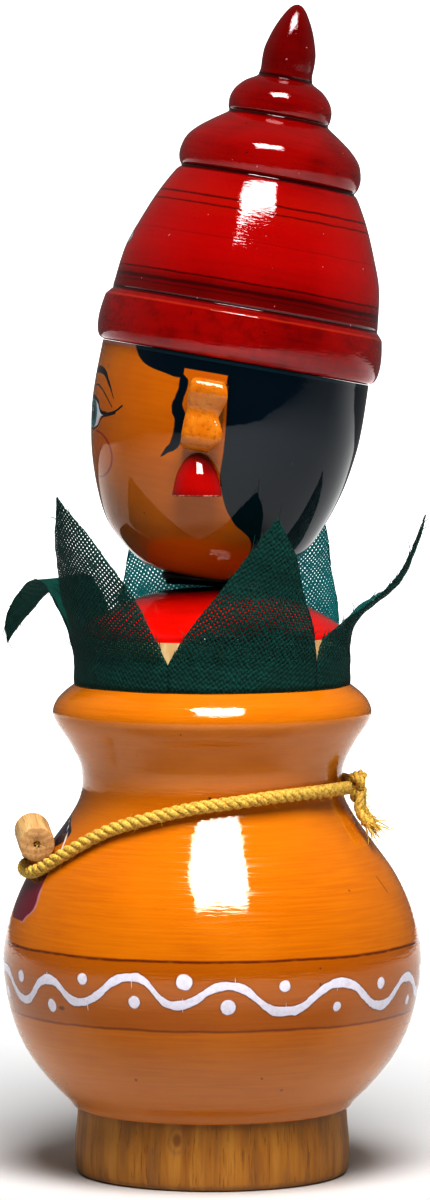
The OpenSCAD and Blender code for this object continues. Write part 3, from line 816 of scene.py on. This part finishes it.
def threads(name, light, dark, scale=2.5):
    """Spun fibre with finer hairs along it."""
    paint = Paint(name, light, 0.8, Specular_IOR_Level=0.25)
    paint.layer(dark, paint.noise(scale, detail=3).above(0.52, 0.12) * 0.65)
    paint.layer(tuple(min(c * 1.35, 0.9) for c in light),
                paint.noise(scale * 2.6, detail=2).above(0.56, 0.08) * 0.5)
    paint.bump(paint.noise(scale * 2.2, detail=3) * 0.12)
    return paint.done()


def metal(name, colour, roughness):
    paint = Paint(name, colour, roughness, Metallic=1.0)
    paint.layer(tuple(c * 0.4 for c in colour), paint.noise(2.0, detail=3).above(0.6, 0.1) * 0.6)
    paint.drive("Roughness", paint.noise(3.0, detail=2) * 0.25 + roughness)
    paint.bump(paint.noise(5.0, detail=2) * 0.01)
    return paint.done()


# ---- turned pieces ----

def build_pot():
    points, faces = lathe(POT, 256)
    pot = piece("pot_turned", points, faces, "pot", "amber_lacquer", ["pot"], sharp=40)
    paint_piece(pot, [foot_wood(), pot_lacquer(), bare("mouth_wood")],
                lambda c: 2 if c.xy.length < 15.2 and c.z > 60 else int(c.z > 11.73))


def bare(name):
    return wood(name, (0.60, 0.40, 0.19), (0.38, 0.21, 0.08)).done()


def build_shoulder():
    """The turned plug whose dome is bored, off its own axis, for the spring."""
    columns, dome_rows, dome_edge, spigot_r, spigot_low = 192, 14, 23.75, 15, 71
    ball = (LEDGE_R ** 2 + (DOME_TOP - LEDGE_TOP) ** 2) / (2 * (DOME_TOP - LEDGE_TOP))

    def dome_z(x, y):
        return DOME_TOP - ball + math.sqrt(ball ** 2 - x * x - y * y)

    rings = []
    for r, z in ((spigot_r, spigot_low), (spigot_r, RIM_Z), (23.8, RIM_Z), (24, 86.2),
                 (24, 94.4), (23.9, 94.75)):
        rings.append([(r * math.cos(a), r * math.sin(a), z) for a in angles(columns)])
    for k in range(dome_rows + 1):
        t = k / dome_rows
        r = dome_edge * (1 - t) + BORE_R * t
        ring = [(r * math.cos(a), r * math.sin(a) + NECK_Y * t) for a in angles(columns)]
        rings.append([(x, y, dome_z(x, y) - (0.15 if k == dome_rows else 0)) for x, y in ring])
    rings.append([(BORE_R * math.cos(a), BORE_R * math.sin(a) + NECK_Y, BORE_FLOOR)
                  for a in angles(columns)])
    points = [(0, 0, spigot_low)] + [p for ring in rings for p in ring]
    points.append((0, NECK_Y, BORE_FLOOR))
    faces = []
    for k in range(columns):
        n = (k + 1) % columns
        faces.append((0, 1 + n, 1 + k))
        for i in range(len(rings) - 1):
            a = 1 + i * columns
            faces.append((a + k, a + n, a + columns + n, a + columns + k))
        a = 1 + (len(rings) - 1) * columns
        faces.append((a + k, a + n, len(points) - 1))
    plug = piece("shoulder_turned", points, faces, "pot", "red_lacquer", ["shoulder_plug"])
    bore = Vector((0, NECK_Y))
    paint_piece(plug, [dome_lacquer(), bare("bore_wood")],
                lambda c: int((c.xy - bore).length < BORE_R - 0.02 or c.z < RIM_Z + 0.01))


def build_head():
    points, faces = lathe(SKULL, 224)
    head = piece("head_turned", points, faces, "head", "skin_lacquer", ["head"], HEAD, 40)
    paint_piece(head, [head_lacquer(), bare("head_wood")],
                lambda c: int(c.z > HEAD_TOP - 0.03 or (c.xy.length < 6.95 and c.z < 12.1)))
    points, faces = lathe(HAT_SOLID, 224)
    hat = piece("hat_turned", points, faces, "head", "hat_lacquer", ["hat"], HAT, 40)
    paint_piece(hat, [hat_lacquer(), bare("hat_wood")],
                lambda c: int(c.xy.length < 14.1 and c.z < 10.3))


def build_ear(side, material):
    """Two carved beads with a hollow between them, rounded over at both ends."""
    profile = [(-3, 0)] + smooth([(0.6, 0), (2.0, 0.35), (2.95, 1.4), (3.3, 2.8), (3.05, 4.6),
                                  (2.65, 6.2), (2.7, 7.3), (3.2, 8.6), (3.65, 9.9), (3.6, 11.2),
                                  (2.9, 12.2), (1.2, 12.5), (0.3, 12.5)], 5) + [(-3, 12.5)]
    rear = smooth([(0, 2.4), (1.8, 4.2), (3.6, 4.4), (5.2, 3.7), (6.3, 3.2), (7.6, 3.6),
                   (9.6, 4.3), (11.4, 4.0), (12.5, 3.4)], 6)
    heights, reaches = zip(*rear)
    rows, front, middle = 18, -2.6, 6.25
    points, faces = [], []
    for row in range(rows + 1):
        t = row / rows
        edge = abs(2 * t - 1)
        inset = 0.5 * max(0, (edge - 0.72) / 0.28) ** 2
        for out, up in profile:
            y = front + (np.interp(up, heights, reaches) - front) * t
            x = EAR_ROOT + (out - inset * 0.9 if out > 0 else out)
            points.append((side * x, y, EAR_BASE + up + (middle - up) * inset * 0.10))
    count = len(profile)
    for row in range(rows):
        for k in range(count):
            n = (k + 1) % count
            a, b = row * count, (row + 1) * count
            faces.append((a + k, a + n, b + n, b + k))
    faces.append(tuple(range(count)))
    faces.append(tuple(rows * count + k for k in range(count)))
    word = "left" if side > 0 else "right"
    ear = piece(word + "_ear_carved", points, faces, "head", "skin_lacquer", [word + "_ear"],
                HEAD, 50)
    paint_piece(ear, [material])


def build_earring(side, material):
    """A little turned bell with a flat back, hung on its pin."""
    cut, back, drop, columns = 1.5, 0.4, 6.3, 64
    outline = smooth([(4.1, 0), (4.5, 0.1), (4.55, 0.5), (4.3, 1.9), (3.85, 3.8), (3.05, 5.6),
                      (2.15, 6.9), (1.52, 7.38)], 6)
    points, faces = [], []
    for r, z in outline:
        half = math.acos(min(cut / r, 1))
        for k in range(columns):
            a = half * (2 * k / (columns - 1) - 1)
            points.append((r * math.cos(a) - cut, r * math.sin(a), z))
    # drawn with the flat back at x = 0 and the round front outwards
    rows = len(outline)
    for row in range(rows - 1):
        for k in range(columns):
            n = (k + 1) % columns
            a, b = row * columns, (row + 1) * columns
            faces.append((a + k, a + n, b + n, b + k))
    faces.append(tuple(range(columns)))
    faces.append(tuple((rows - 1) * columns + k for k in range(columns)))
    word = "left" if side > 0 else "right"
    hang = Matrix.Translation(head_place((side * PIN.x, PIN.y, PIN.z)) * MM)
    hang = hang @ Matrix.Rotation(LEAN, 4, "Y")
    points = [(side * (x + back), y, z - drop) for x, y, z in points]
    earring = piece(word + "_earring_turned", points, faces, word + "_earring", "red_lacquer",
                    [word + "_earring"], hang, 50)
    paint_piece(earring, [material])


def build_dowel():
    """A short stick, sawn square and bored through for its yarn."""
    half, r, bore, columns = 6.0, 3.1, 0.6, 96
    end_in = [(bore, half - 0.1), (bore + 0.12, half), (r - 0.35, half), (r - 0.08, half - 0.1),
              (r, half - 0.4)]
    outline = [(out, -z) for out, z in end_in]
    outline += [(r, z) for z in np.linspace(-half + 1, half - 1, 9)] + end_in[::-1]
    points, faces = lathe(outline + outline[:1], columns)
    # the outline ends where it starts, so its last ring of points is left out
    rng = random.Random(4)
    points = [(x + rng.gauss(0, 0.012), y + rng.gauss(0, 0.012), z)
              for x, y, z in points[:-columns]]
    faces = [tuple(v if v < len(points) else v - len(points) for v in f) for f in faces]
    place = (Matrix.Translation(Vector(DOWEL_AT) * MM)
             @ Matrix.Rotation(math.radians(DOWEL_TURN), 4, "Z")
             @ Matrix.Rotation(math.radians(90 + DOWEL_DIP), 4, "Y"))
    dowel = piece("dowel_stick", points, faces, "dowel", "bare_wood", ["dowel"], place, 50)
    side = wood("dowel_side", (0.68, 0.44, 0.19), (0.44, 0.24, 0.08), fine=1.6)
    end = Paint("dowel_end", (0.50, 0.29, 0.12), 0.7)
    rings = (reach(end.x * 0.9 + 5.0, end.y) * 5.5 + end.noise(0.8, detail=2) * 3).act("SINE")
    end.layer((0.62, 0.40, 0.19), rings.above(0.1, 0.7) * 0.7)
    end.layer((0.30, 0.15, 0.05), end.noise(2.2, detail=3).above(0.6, 0.06) * 0.6)
    end.bump(end.noise(3.0, detail=2) * 0.05 + rings * 0.01)
    paint_piece(dowel, [side.done(), end.done()],
                lambda c: int(abs(c.z) > half - 0.13))


# ---- spring ----

def build_spring(material):
    """The coil from the shoulder to the head, in two lengths, split where the neck bends."""
    low, high, turns = BORE_FLOOR - NECK.z + 0.65, 11.9, 10
    coil_r, wire_r, steps = 5.8, 0.6, 360
    middle = -low / (high - low)

    def place(t):
        a, rise = 2 * math.pi * turns * t, low + (high - low) * t
        ring = Vector((coil_r * math.cos(a), coil_r * math.sin(a), rise))
        return NECK + ring if rise < 0 else NECK + TILT @ ring

    for name, spans, bodies, start, end in (
            ("spring_lower", (0, middle), ("pot", "neck_spring"), 101.5, 103.8),
            ("spring_upper", (middle, 1), ("neck_spring", "neck_plug"), 103.8, 106)):
        path = [place(spans[0] + (spans[1] - spans[0]) * k / steps) for k in range(steps + 1)]
        mesh = mesh_of(name, *tube(path, wire_r, 10))
        mesh.shade_smooth()
        obj = add(name, mesh)
        start * MM
        end * MM
        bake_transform(obj)
        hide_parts("neck_spring")
        obj.data.materials.append(material)


# ---- rope, knot and yarn ----

ROPE_STATIONS = [(0, 32.9, 53.8), (14, 32.95, 53.7), (26, 32.8, 53.8), (34, 32.1, 55),
                 (43, 29.95, 57.9), (58, 27, 62), (75, 25.4, 64.5), (92, 24.5, 66.3),
                 (109, 24.25, 67.3), (127, 24.15, 68.1), (148, 24.15, 68.4), (165, 24.3, 68.4),
                 (173.5, 24.6, 68.3)]
KNOT_AT = Vector((0, 26, 68.9))


def rope_place(station, side):
    a = math.radians(station[0])
    return (side * station[1] * math.sin(a), -station[1] * math.cos(a), station[2])


def fuzz(paths, radius, count, longest, seed):
    """Fine stray hairs that stand off the yarns whose middles are given."""
    thick = 0.028
    rng = random.Random(seed)
    parts = []
    for _ in range(count):
        path = rng.choice(paths)
        i = rng.randrange(1, len(path) - 2)
        at = np.array(path[i], float)
        along = np.array(path[i + 1], float) - np.array(path[i - 1], float)
        along /= np.linalg.norm(along)
        out = scatter(rng)
        out -= along * (out @ along)
        out /= np.linalg.norm(out)
        start = at + out * radius * 0.86
        reach = longest * rng.uniform(0.25, 1)
        lean = along * rng.uniform(-0.9, 0.9) + np.array([0, 0, -0.15])
        hair = [start + (out * 0.75 * t + lean * t * t) * reach for t in (0, 0.3, 0.65, 1)]
        parts.append(tube(hair, [thick, thick, thick * 0.8, thick * 0.4], 3))
    return joined(parts)


def soft_piece(name, parts, body, slot, material, replaces=()):
    obj = piece(name, *parts, body, slot, replaces, sharp=80)
    obj.data.materials.append(material)
    return obj


def build_rope():
    """A three-ply cord tied round the throat, knotted behind, with a stick on a yarn in front."""
    rope_fibre = threads("rope_fibre", (0.74, 0.51, 0.12), (0.30, 0.14, 0.014))
    yarn_fibre = threads("yarn_fibre", (0.58, 0.40, 0.13), (0.34, 0.20, 0.05), 3.5)
    route = smooth([rope_place(s, 1) for s in ROPE_STATIONS[::-1]]
                   + [rope_place(s, -1) for s in ROPE_STATIONS[1:]], 6)

    def roped(name, parts, replaces=()):
        return soft_piece(name, parts, "rope", "rope_fibre", rope_fibre, replaces)

    rope = roped("rope_twisted", twisted(route, 2.45, 3, 5.0, sides=9, step=0.35), ["neck_rope"])
    # an overhand knot, its loops pulled down on each other
    loops = []
    for k in range(97):
        a = 2 * math.pi * k / 96
        loops.append((KNOT_AT.x + 0.92 * (math.sin(a) + 1.25 * math.sin(2 * a)) * 0.8,
                      KNOT_AT.y - 0.15 + 0.62 * math.sin(3 * a),
                      KNOT_AT.z - 0.2 + 1.1 * (math.cos(a) - 1.25 * math.cos(2 * a))))
    knot = roped("knot_tied", twisted(loops, 1.9, 3, 4.2, sides=8, step=0.25), ["rope_knot"])
    rng = random.Random(11)
    parts, ends = [], []
    for side in (1, -1):
        tail = smooth([(side * 0.9, 26.3, 67.4), (side * 1.3, 26.3, 65.8), (side * 1.7, 26.3, 64.4),
                       (side * 2.3, 27.2, 62.9), (side * 1.9, 28.2, 61.7)], 6)
        parts.append(twisted(tail, 1.8, 3, 4.2, sides=8, step=0.35, start=side))
        tip, before = np.array(tail[-1]), np.array(tail[-6])
        along = (tip - before) / np.linalg.norm(tip - before)
        for _ in range(34):
            spread = scatter(rng, 0.42)
            start = tip + spread * 0.9 - along * 0.5
            hair = [start + along * 1.9 * t
                    + spread * (1.1 * t + 0.9 * t * t) * rng.uniform(0.6, 1.3)
                    for t in (0, 0.35, 0.7, 1)]
            parts.append(tube(hair, [0.11, 0.10, 0.08, 0.04], 4))
        ends.append(tail)
    tails = roped("tails_frayed", joined(parts), ["rope_tails"])
    cores = [resampled(path, 0.5) for path in [route] * 4 + ends + [loops]]
    hairs = roped("rope_fuzz", fuzz(cores, 1.2, 900, 1.3, 5))
    # the yarn goes through the stick and down over the rope
    turn = Matrix.Translation(DOWEL_AT) @ Matrix.Rotation(math.radians(DOWEL_TURN), 4, "Z")
    turn = turn @ Matrix.Rotation(math.radians(DOWEL_DIP), 4, "Y")
    strand = [(5.6, 0.1, 0), (2, 0, 0), (-3, 0, 0), (-6.3, 0, 0.05), (-6.75, -0.3, -0.7),
              (-6.6, -0.9, -2.6), (-6.4, -1.3, -4.3), (-6.2, -0.9, -5.6)]
    path = [tuple(turn @ Vector(p)) for p in smooth(strand, 6)]
    yarn = soft_piece("yarn_twisted", twisted(path, 0.9, 2, 2.2, sides=7, step=0.2), "rope",
                      "yarn_fibre", yarn_fibre, ["dowel_yarn"])
    whiskers = []
    tuft = np.array(tuple(turn @ Vector((6.0, 0.05, 0))))
    out = np.array(tuple(turn.to_3x3() @ Vector((1, 0, 0))))
    for _ in range(14):
        spread = scatter(rng, 0.3)
        hair = [tuft - out * 0.8, tuft + spread * 0.5, tuft + out * 0.7 + spread * 1.6]
        whiskers.append(tube(hair, [0.05, 0.05, 0.03], 4))
    tufts = soft_piece("yarn_tuft", joined(whiskers), "rope", "yarn_fibre", yarn_fibre)
    [c * MM for c in route[0]]
    [[c * MM for c in p] for p in route]


# ---- leaf collar ----

INNER_R, BAND_LOW, BAND_TOP, CLOTH_T = 24.06, 86.15, 90.8, 0.14
LEAVES = [
    [(-71.5, -8.4, INNER_R, BAND_TOP), (-72, -15.7, 25.7, 98), (-71, -24, 27.3, 105),
     (-62, -36.5, 28.6, 112), (-53.5, -53.1, 29.9, 119.3)],
    [(-8.4, 58.5, INNER_R, BAND_TOP), (1, 54.7, 24.7, 97), (14, 48.2, 25.2, 104),
     (24.5, 43.4, 25.8, 110), (34.7, 35.3, 26.2, 115.9)],
    [(58.5, 118, INNER_R, BAND_TOP), (62.5, 116, 24.15, 94.6), (78, 113, 25.6, 98.2),
     (85, 107, 31.2, 102.6), (87, 98, 35.2, 109), (87.8, 88.2, 37.8, 116)],
    [(118, 178, INNER_R, BAND_TOP), (126, 173, 24.8, 98), (136, 167, 26.3, 105.5),
     (145, 160, 28.6, 112.5), (152.8, 153.2, 31, 118.5)],
    [(178, 237, INNER_R, BAND_TOP), (183, 232, 24.8, 98), (192, 226.5, 26, 105.5),
     (203, 219.5, 28, 112), (211.8, 212.2, 29.5, 117.5)],
    [(237, 288.5, INNER_R, BAND_TOP), (236, 286, 26.4, 98.5), (237, 280, 30.5, 103.8),
     (245, 272, 34.6, 101.2), (253, 267, 37.1, 96.6), (260.9, 261.1, 38.4, 92.3)]]


def build_collar():
    """A strip of cloth cut into six leaves, stiff enough to stand, glued round the shoulder."""
    rng = random.Random(2)
    columns, steps, band_rows = 30, 9, 5
    points, faces, cut, edges = [], [], [], []
    for leaf in LEAVES:
        spine = [(*leaf[0][:2], INNER_R, BAND_LOW + (BAND_TOP - BAND_LOW) * k / band_rows)
                 for k in range(band_rows)] + smooth(leaf, steps)
        start = len(points)
        run = 0.0
        left_edge, right_edge = [], []
        phase = rng.uniform(0, 6)
        middle = (leaf[0][0] + leaf[0][1]) / 2
        for row, (low, high, r, z) in enumerate(spine):
            if row:
                run += math.hypot(r - spine[row - 1][2], z - spine[row - 1][3])
            way = spine[min(row + 1, len(spine) - 1)]
            was = spine[max(row - 1, 0)]
            slope = np.array([way[2] - was[2], way[3] - was[3]])
            slope /= np.linalg.norm(slope)
            free = min(max((run - 4.4) / 8, 0), 1)      # 0 where it is glued, 1 where it stands
            width = math.radians(high - low) * r
            for c in range(columns + 1):
                s = c / columns
                # a slow curl across the leaf, and small ripples where the cloth was pressed
                curl = free * (0.55 * (1 - (2 * s - 1) ** 2) - 0.2)
                ripple = free * 0.16 * math.sin(run * 0.55 + phase + 2.4 * s)
                ripple += 0.05 * math.sin(run * 1.9 + s * 9 + phase)
                lift = (curl + ripple) * min(width / 9, 1)
                out, up = r + lift * slope[1], z - lift * slope[0]
                a = math.radians(low + (high - low) * s)
                points.append((out * math.cos(a), out * math.sin(a), up))
                across = math.radians(middle) * INNER_R + (s - 0.5) * width
                across += math.radians((low + high) / 2 - middle) * INNER_R * 0.6
                cut.append((across, run))
            left_edge.append(points[-columns - 1])
            right_edge.append(points[-1])
        for row in range(len(spine) - 1):
            for c in range(columns):
                a = start + row * (columns + 1) + c
                faces.append((a, a + 1, a + columns + 2, a + columns + 1))
        edges += [left_edge[band_rows + 1:], right_edge[band_rows + 1:]]
    mesh = mesh_of("collar_cut", points, faces)
    layer = mesh.uv_layers.new(name="cut")
    for loop in mesh.loops:
        layer.data[loop.index].uv = cut[loop.vertex_index]
    merge(mesh, 2e-6)
    mesh.shade_smooth()
    collar = add("collar_cut", mesh)
    thick = collar.modifiers.new("thickness", "SOLIDIFY")
    thick.thickness, thick.offset = CLOTH_T * MM, 1
    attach(collar, "pot")
    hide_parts("leaf_collar")
    mesh.materials.append(cloth())
    # threads pulled loose along the cut edges
    parts = []
    for path in edges:
        path = resampled(path, 0.5)
        for i in range(1, len(path) - 1):
            if rng.random() > 0.42:
                continue
            along = path[i + 1] - path[i - 1]
            along /= np.linalg.norm(along)
            drift = scatter(rng)
            reach = rng.choice((0.5, 0.7, 1.0, 1.6))
            hair = [path[i] - along * 0.3, path[i] + (along * 0.8 + drift * 0.25) * reach * 0.5,
                    path[i] + (along * 1.2 + drift * 0.55) * reach]
            parts.append(tube(hair, [0.07, 0.06, 0.035], 4))
    thread = threads("green_thread", (0.002, 0.065, 0.05), (0.001, 0.025, 0.02))
    loose = soft_piece("collar_threads", joined(parts), "pot", "green_cloth", thread)


# ---- stage ----

def softbox(name, elevation, length, bearing=17, glow=22):
    """A rectangular lamp 1.3 m away that points at the doll's shoulder; glow is its brightness."""
    bearing, rise, distance, width = math.radians(bearing), math.radians(elevation), 1.3, 0.6
    out = distance * math.cos(rise)
    lamp = bpy.data.lights.new(name, "AREA")
    lamp.shape = "RECTANGLE"
    lamp.size, lamp.size_y = width, length
    lamp.energy = glow * math.pi * width * length
    obj = add(name, lamp)
    obj.location = (out * math.cos(bearing), out * math.sin(bearing), distance * math.sin(rise))
    obj.rotation_euler = (Vector((0, 0, 0.11)) - obj.location).to_track_quat("-Z", "Y").to_euler()
    return obj


def aim_light(lamp, obj, state="INCLUDE"):
    """Keeps a lamp to one object, or to everything but that object."""
    group = bpy.data.collections.new(lamp.name + "_link")
    group.objects.link(obj)
    group.collection_objects[0].light_linking.link_state = state
    lamp.light_linking.receiver_collection = group


def sheet(name, corners, paint):
    """A flat part of the stage, from four corners in metres."""
    mesh = bpy.data.meshes.new(name)
    mesh.from_pydata(corners, [], [(0, 1, 2, 3)])
    obj = add(name, mesh)
    mesh.materials.append(paint.done())
    return obj


def towards_camera(x, y):
    bearing = math.radians(CAMERA_BEARING)
    return x * math.cos(bearing) + y * math.sin(bearing)


def backdrop():
    """A lit white sheet, just wide enough to fill the camera's view behind the doll."""
    bearing, away = math.radians(CAMERA_BEARING + 180), 2.2
    centre = Vector((math.cos(bearing) * away, math.sin(bearing) * away, 0.02))
    aside = Vector((-math.sin(bearing), math.cos(bearing), 0)) * 0.16
    down, up = UP * 0.4, UP * 0.45
    sheet("backdrop", [centre - aside - down, centre + aside - down, centre + aside + up,
                       centre - aside + up],
          Paint("backdrop", (0.8, 0.8, 0.8), 0.5, Emission_Color=(1, 1, 1, 1),
                Emission_Strength=1.2))


def make_floor():
    """A pale table, darker in an arc on the camera's side of the doll, and lit far behind."""
    paint = Paint("floor", (0.8, 0.8, 0.8), 0.6, Emission_Color=(1, 1, 1, 1))
    behind = -towards_camera(paint.x, paint.y)
    paint.drive("Emission Strength", behind.above(300, 340) * 0.9)
    dark_ring = paint.r.between(52, 115, 20) * behind.below(-36, 20)
    paint.drive("Base Color", 0.66 - dark_ring * 0.42)
    return sheet("floor", [(-0.8, -1.5, 0), (0.85, -1.5, 0), (0.85, 1.5, 0), (-0.8, 1.5, 0)],
                 paint)


def make_world():
    """A dim grey room, a little brighter on the side away from the camera."""
    world = bpy.data.worlds.new("studio")
    world.use_nodes = True
    tree = world.node_tree
    x, y, _ = xyz(tree, tree.nodes.new("ShaderNodeTexCoord").outputs["Generated"])
    sky = tree.nodes["Background"]
    tree.links.new((towards_camera(x, y).below(0.1, 0.5) * 0.16 + 0.04).out, sky.inputs["Color"])
    sky.inputs["Strength"].default_value = 1
    bpy.context.scene.world = world


def stage():
    backdrop()
    floor = make_floor()
    make_world()
    hat, collar = bpy.data.objects["hat_turned"], bpy.data.objects["collar_cut"]
    aim_light(softbox("softbox", 62.5, 0.78), hat, "EXCLUDE")
    # the hat has a shorter lamp of its own, for a shorter highlight
    aim_light(softbox("softbox_high", 63, 0.37), hat)
    fill = softbox("back_fill", 35, 0.8, bearing=205, glow=3)
    fill.visible_glossy = False
    aim_light(fill, floor, "EXCLUDE")
    # stands in for the light that the thin cloth passes on inside the collar
    lamp = bpy.data.lights.new("inside_collar", "POINT")
    lamp.energy, lamp.color, lamp.shadow_soft_size = 0.06, (0.75, 1, 1), 0.008
    lamp.use_shadow = False
    inside = add("inside_collar", lamp)
    inside.location = (0.004, 0, 0.112)
    inside.visible_glossy = False
    aim_light(inside, collar)
    look = bpy.context.scene.view_settings
    look.view_transform, look.gamma = "Standard", 0.76


# ---- the doll ----

make_camera()
build_dowel()
build_rope()
build_pot()
build_shoulder()
build_head()
ears = ear_lacquer()
drops = earring_lacquer()
for doll_side in (1, -1):
    build_ear(doll_side, ears)
    build_earring(doll_side, drops)
build_spring(metal("dark_steel", (0.05, 0.05, 0.055), 0.35))
build_collar()
brass = metal("pin_brass", (0.55, 0.38, 0.14), 0.3)
for node_name in ("left_earring_pin", "right_earring_pin"):
    paint_piece(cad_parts[node_name], [brass])
paint_piece(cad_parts["neck_plug"], [bare("neck_wood")])
stage()
